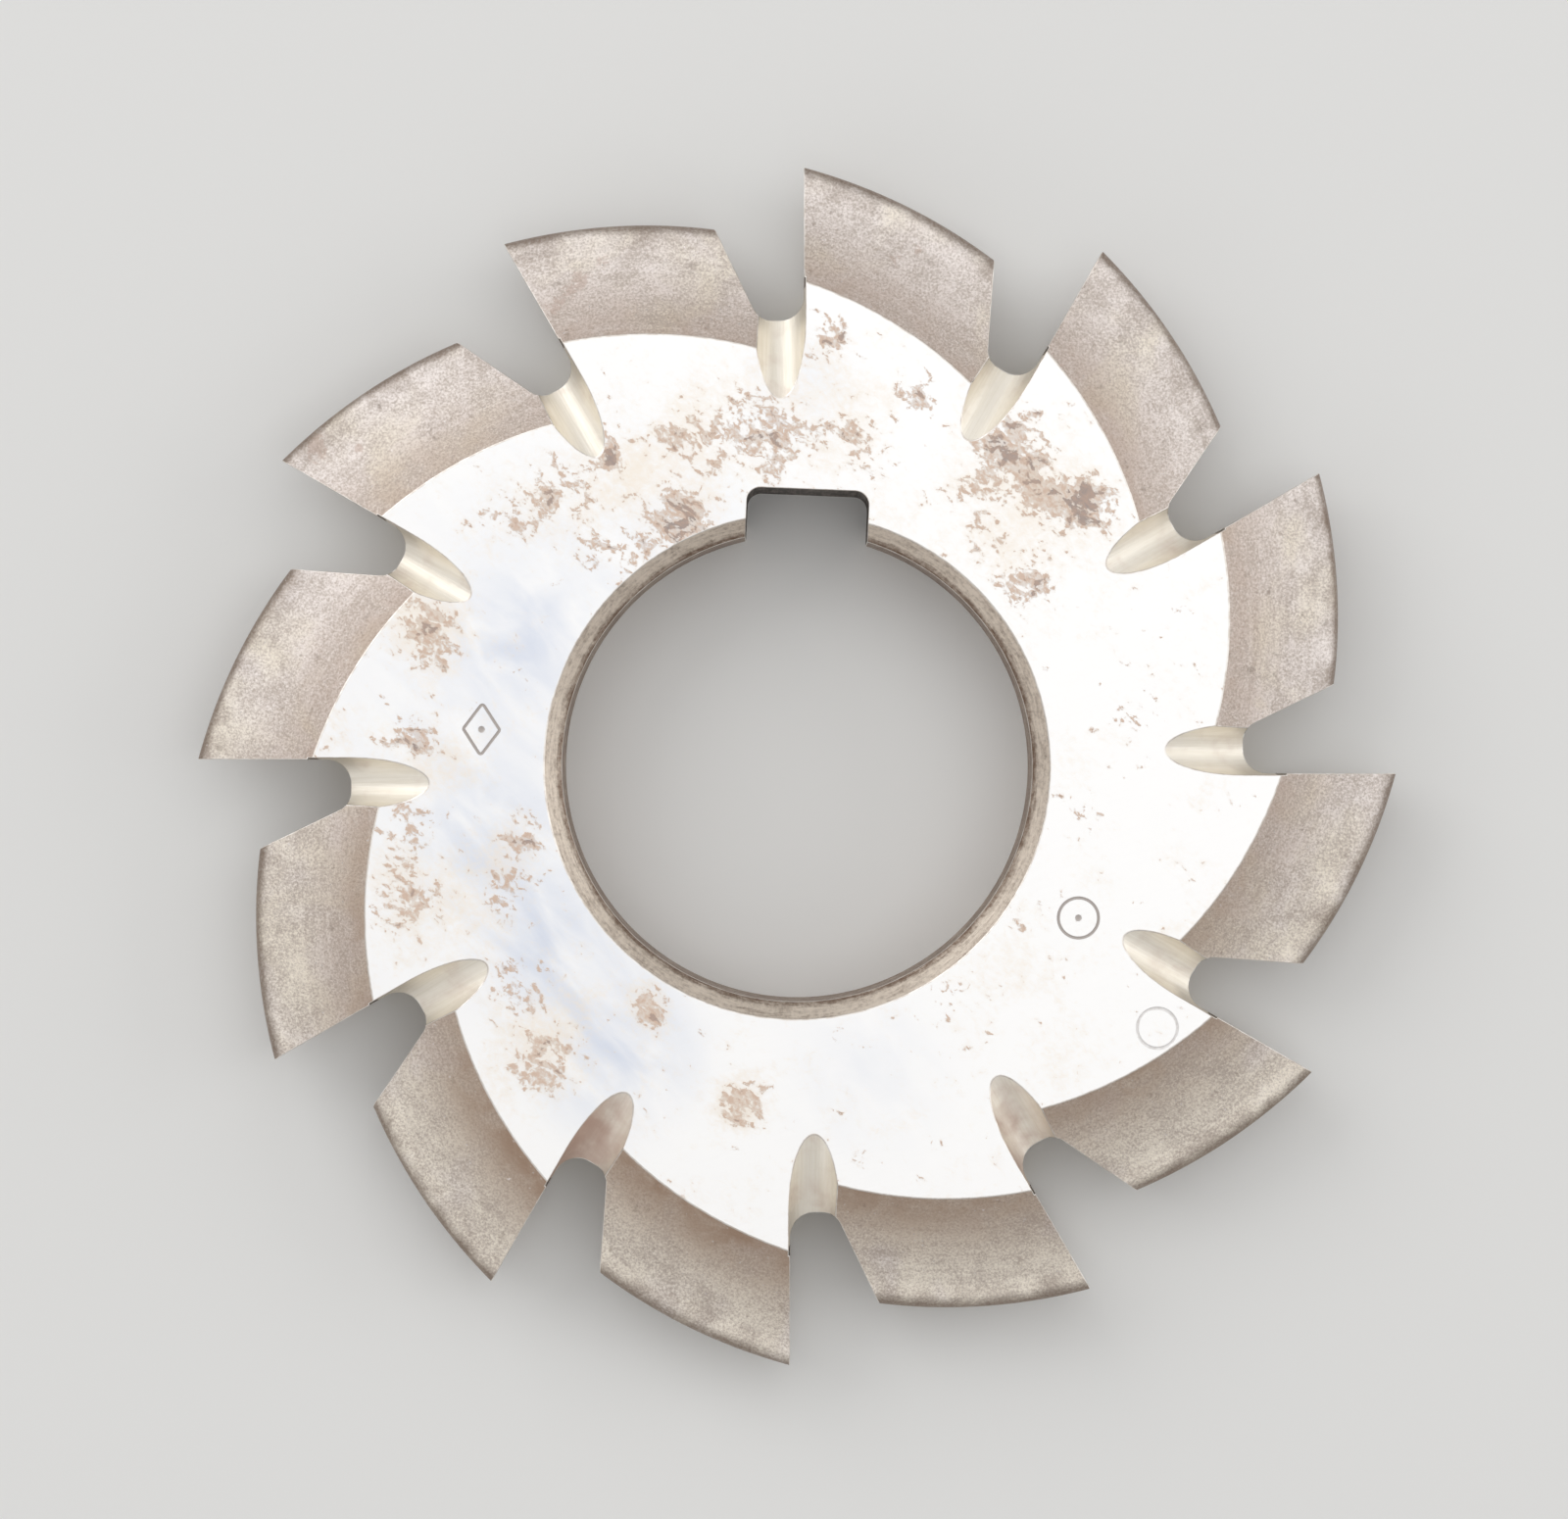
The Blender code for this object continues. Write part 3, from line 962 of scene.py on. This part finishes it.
def ground_finish():
    finish = Finish("ground")
    height = height_of(finish)
    leaning = finish.stretched((1.35, 1.0, 1.0), -35)
    flakes = finish.noise(leaning, 1.0, 6.0, 0.58, 0.9)
    specks = finish.noise(leaning, 3.0, 5.0, 0.65, 0.5)
    clouds = finish.noise(finish.place, 0.28, 4.0, 0.55, 0.4)
    below = finish.step(height, 0, -1) * finish.step(clouds, 0.48, 0.66)
    odds = patches(finish, STAINS) + below * 0.5
    oiled = patches(finish, FILM) + below
    stain_and_shade = clouds * 0.35 + flakes * 0.3 + specks * 0.35 + oiled * 0.16 + odds * 0.08
    film = finish.step(stain_and_shade, 0.50, 0.76)
    tan = finish.step(flakes * 0.6 + specks * 0.4 + oiled * 0.04 + odds * 0.25, 0.62, 0.66)
    dark = finish.step(flakes * 0.75 + specks * 0.25 + odds * 0.20, 0.68, 0.73)
    smears = finish.noise(finish.stretched((2.4, 1.0, 1.0), -45), 0.5, 5.0, 0.5, 0.6)
    # Bluish grey from smeared haze, and painted shade over the left and lower left of the upper side.
    haze_and_shade = patches(finish, HAZE_AND_SHADE) * finish.step(smears, 0.14, 0.72)
    colour = finish.mix(haze_and_shade, GROUND_STEEL, HAZE_AND_SHADE_BLUE)
    colour = finish.mix(film * 0.8, colour, OIL_FILM)
    thickness = 0.3 + finish.step(specks, 0.42, 0.62) * 0.65
    colour = finish.mix(tan * thickness, colour, TAN_RUST)
    browns = finish.mix(finish.step(specks, 0.35, 0.65), DARK_RUST, BROWN_RUST)
    colour = finish.mix(dark * 0.85, colour, browns)
    arcs = finish.noise(finish.stretched((2.0, 0.11, 1.0), 20), 1.0, 3.0)
    roughness = 0.36 + arcs * 0.08 + haze_and_shade * 0.06 + film * 0.06 + tan * 0.25
    finish.wear(colour, roughness, 1.0 - tan * 0.35 - dark * 0.35)
    finish.bump(arcs * 0.12 + specks * tan * 0.6 - dark, 0.018 * MM)


ground_finish()

# %% [markdown]
# ## Tooth backs
# The relieved backs aren't ground. They keep the fine matte skin that turning, hardening and blasting
# leave: a warm grey with a close speckle, over faint lines that run along the tooth. The roots are
# browner, and on the lower teeth they are painted darker still, which is painted shade. A few scars have
# rusted. The rounded tips are painted dark brown, partly scale and partly painted shade where they turn
# away from the light. Sparse points are lightened as painted glints. The height of a point tells how far
# down the tooth form it lies, so one height mask finds the root and the tip on all the teeth.

# %% The flank finish
FLANK_ROSE = (0.93, 0.865, 0.835)
FLANK_STRAW = (0.92, 0.85, 0.74)
FLANK_DARK = (0.51, 0.44, 0.39)
ROOT_AND_SHADE_BROWN = (0.40, 0.28, 0.205)
SCALE_AND_SHADE_BROWN = (0.22, 0.16, 0.12)


def flank_finish():
    finish = Finish("flank")
    tip_edge = TIP_HALF_WIDTH / MM
    height = abs(height_of(finish))
    inner = finish.step(height, tip_edge, SIDE / MM)
    x, y = coordinate(finish, "X"), coordinate(finish, "Y")
    grain = finish.noise(finish.place, 7.0, 4.0, 0.75)
    mottling = finish.noise(finish.place, 0.45, 5.0, 0.6, 0.5)
    tint = finish.noise(finish.place, 0.22, 3.0, 0.5, 0.5)
    spots = finish.noise(finish.place, 1.3, 3.0, 0.6)
    turned = finish.noise(slow_round_axis(finish, height * 9.0), 1.0, 3.0, 0.6)
    light = finish.step(grain * 0.6 + mottling * 0.28 + turned * 0.12, 0.38, 0.62)
    straw = finish.step(tint + finish.step(y, 15, -25) * 0.2, 0.46, 0.72)
    colour = finish.mix(light, FLANK_DARK, finish.mix(straw, FLANK_ROSE, FLANK_STRAW))
    # Browner towards the roots. The terms in y darken the lower teeth further, which is painted shade.
    stain_and_shade = finish.step(mottling, 0.3, 0.7) * 0.4 + 0.25
    stain_and_shade = stain_and_shade + finish.step(y, 5, -22) * 0.2 + finish.step(y + x * 0.26, -18, -30) * 0.22
    colour = finish.mix(inner * stain_and_shade, colour, ROOT_AND_SHADE_BROWN)
    spotted = finish.step(spots, 0.62, 0.74)
    colour = finish.mix(spotted * 0.4, colour, SCALE_AND_SHADE_BROWN)
    ragged = finish.noise(finish.place, 2.6, 5.0, 0.65, 0.9)
    scarred = finish.step(patches(finish, BLEMISHES) * 0.25 + ragged * 0.75, 0.57, 0.66)
    colour = finish.mix(scarred * 0.5, colour, BROWN_RUST)
    # Dark brown on the rounded tips, partly scale and partly painted shade where they turn away from the
    # light.
    tip_scale_and_shade = finish.step(height + mottling * 0.5 - 0.25, tip_edge + 0.22, tip_edge - 0.28)
    colour = finish.mix(tip_scale_and_shade * (0.9 - light * 0.2), colour, SCALE_AND_SHADE_BROWN)
    glints = finish.step(finish.noise(finish.place, 4.5, 2.0), 0.71, 0.75)
    # Painted glints: sparse points lightened towards the pale flank colour, besides being made smoother.
    colour = finish.mix(glints * 0.7, colour, FLANK_ROSE)
    finish.wear(colour, 0.50 - glints * 0.25 + spotted * 0.1, 0.62 - spotted * 0.3)
    finish.bump(grain + mottling * 0.6 + turned * 0.3, 0.035 * MM)


flank_finish()

# %% [markdown]
# ## Cutting faces, flutes and scoops
# The cutting face is sharpened with a wheel that runs up and down the flute, so its fine lines run
# outwards from the axis. The rest of the flute is as milled and has gone brown. The scoops are bright but
# yellowed, with lines along their length. Their rims are painted duller, which is painted shade where the
# walls turn away from the light. Rust has settled in some of them, and the scoops towards the bottom turn
# browner.

# %% The finishes inside the flutes
FACE_STEEL = (0.80, 0.78, 0.75)
FLUTE_BROWN = (0.22, 0.17, 0.13)
FLUTE_STEEL = (0.50, 0.45, 0.38)
SCOOP_CREAM = (0.97, 0.92, 0.83)
SCOOP_DULL_AND_SHADE = (0.82, 0.76, 0.64)
SCOOP_RUST = (0.56, 0.41, 0.34)


def face_finish():
    finish = Finish("face")
    radius = radius_of(finish)
    height = height_of(finish)
    across = finish.node("ShaderNodeCombineXYZ", {}, {"X": radius * 0.4, "Y": height * 9.0})
    lines = finish.noise(across, 1.0, 3.0)
    stains = finish.step(finish.noise(finish.place, 0.9, 5.0, 0.65), 0.52, 0.70)
    colour = finish.mix(stains * 0.6, FACE_STEEL, FLUTE_STEEL)
    finish.wear(colour, 0.26 + lines * 0.14 + stains * 0.2, 1.0 - stains * 0.3)
    finish.bump(lines, 0.006 * MM)


def flute_finish():
    finish = Finish("flute")
    height = height_of(finish)
    radius = radius_of(finish)
    along = finish.node("ShaderNodeCombineXYZ", {}, {"X": radius * 6.0, "Y": height * 0.5})
    lines = finish.noise(along, 1.0, 3.0)
    brown = finish.step(finish.noise(finish.place, 0.8, 5.0, 0.65), 0.38, 0.62)
    colour = finish.mix(brown, FLUTE_STEEL, FLUTE_BROWN)
    finish.wear(colour, 0.40 + brown * 0.2, 0.9 - brown * 0.3)
    finish.bump(lines, 0.02 * MM)


def scoop_finish():
    finish = Finish("scoop")
    off = off_flute(finish) - SCOOP_MIDDLE / MM
    lines = finish.noise(slow_round_axis(finish, off * 7.0, 0.3), 1.0, 4.0, 0.6)
    blots = finish.noise(finish.place, 0.55, 5.0, 0.5, 0.3)
    # Painted shade: duller towards the rims, where the scoop's walls turn away from the light.
    wall_shade = finish.step(abs(off) + blots * 0.8, 1.2, 2.0)
    lower_browning = patches(finish, LOWER_BROWNING)
    rust = finish.step(blots * 0.9 + lower_browning * (0.28 - off * 0.12), 0.42, 0.98)
    colour = finish.mix(finish.step(lines, 0.35, 0.7) * 0.45, SCOOP_CREAM, SCOOP_DULL_AND_SHADE)
    colour = finish.mix(wall_shade * 0.6, colour, SCOOP_DULL_AND_SHADE)
    colour = finish.mix(rust, colour, SCOOP_RUST)
    finish.wear(colour, 0.43 + lines * 0.12 + rust * 0.2, 0.66 - rust * 0.25)
    finish.bump(lines + blots * 0.3, 0.02 * MM)


face_finish()
flute_finish()
scoop_finish()

# %% [markdown]
# ## Bore, keyway, marks and edges
# The bore and its chamfer were turned, so they have fine rings, broken up by grain, and oil has browned
# them. Towards the bore the chamfer is painted darker, and the bore's wall darker still, which is painted
# shade going into the hole. The keyway is darker still, with lines along the stroke of the broach. Dirt
# fills the punch marks, more where they are deeper, so the faint ring stays pale. The broken edges are the
# only places that handling keeps bright.

# %% The finishes of the bore, the keyway, the marks and the edges
BORE_LIGHT = (0.84, 0.75, 0.65)
BORE_BROWN = (0.21, 0.14, 0.10)
KEYWAY_DARK = (0.06, 0.048, 0.040)
KEYWAY_STEEL = (0.22, 0.19, 0.165)
MARK_DIRT = (0.50, 0.45, 0.42)
EDGE_STEEL = (0.86, 0.83, 0.79)
EDGE_DULL = (0.70, 0.64, 0.58)


def bore_finish():
    finish = Finish("bore")
    radius = radius_of(finish)
    across = radius * 5.0 + height_of(finish) * 2.0
    rings = finish.noise(slow_round_axis(finish, across, 0.7), 1.0, 4.0, 0.6, 0.6)
    blots = finish.noise(finish.place, 0.7, 5.0, 0.65, 0.4)
    grain = finish.noise(finish.place, 4.0, 4.0, 0.7)
    chamfer = BORE_RADIUS / MM
    # Painted shade: the chamfer darkens towards the bore, and the bore's wall is darker still.
    wear_and_light = finish.step(radius, chamfer + 0.05, chamfer + 0.45) * 0.3
    shade = wear_and_light + rings * 0.6 + blots * 0.4 + grain * 0.6
    colour = finish.mix(finish.step(shade, 0.66, 1.24), BORE_BROWN, BORE_LIGHT)
    finish.wear(colour, 0.42 + blots * 0.2, 0.75)
    finish.bump(rings, 0.03 * MM)


def keyway_finish():
    finish = Finish("keyway")
    lines = finish.noise(finish.stretched((0.2, 0.2, 3.5)), 1.0, 3.0)
    blots = finish.noise(finish.place, 0.9, 4.0, 0.6)
    colour = finish.mix(finish.step(lines * 0.5 + blots * 0.5, 0.42, 0.66), KEYWAY_DARK, KEYWAY_STEEL)
    finish.wear(colour, 0.5 + blots * 0.2, 0.6)
    finish.bump(lines, 0.02 * MM)


def mark_finish():
    finish = Finish("mark")
    depth = SIDE / MM - height_of(finish)
    blots = finish.noise(finish.place, 2.5, 4.0, 0.6)
    dirt = finish.step(depth + blots * 0.05, 0.02, 0.10)
    colour = finish.mix(dirt * 0.9, GROUND_STEEL, MARK_DIRT)
    finish.wear(colour, 0.42 + dirt * 0.3, 1.0 - dirt * 0.5)


def edge_finish():
    finish = Finish("edge")
    blots = finish.noise(finish.place, 1.4, 4.0, 0.6)
    wear_and_light = finish.step(blots, 0.34, 0.62)
    colour = finish.mix(wear_and_light, EDGE_DULL, EDGE_STEEL)
    finish.wear(colour, 0.44 - wear_and_light * 0.12, 0.95)


bore_finish()
keyway_finish()
mark_finish()
edge_finish()
for name, material in finish_slots.items():
    print(name, "has", len(material.node_tree.nodes), "nodes")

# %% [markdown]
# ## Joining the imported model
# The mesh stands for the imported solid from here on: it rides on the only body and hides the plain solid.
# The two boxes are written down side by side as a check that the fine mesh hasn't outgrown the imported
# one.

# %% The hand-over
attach(cutter, "root")
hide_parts("gear_cutter")

boxes = {"cad": cad_box, "visual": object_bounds()}
for name, box in boxes.items():
    print(name, [[round(value / MM, 2) for value in corner] for corner in box])
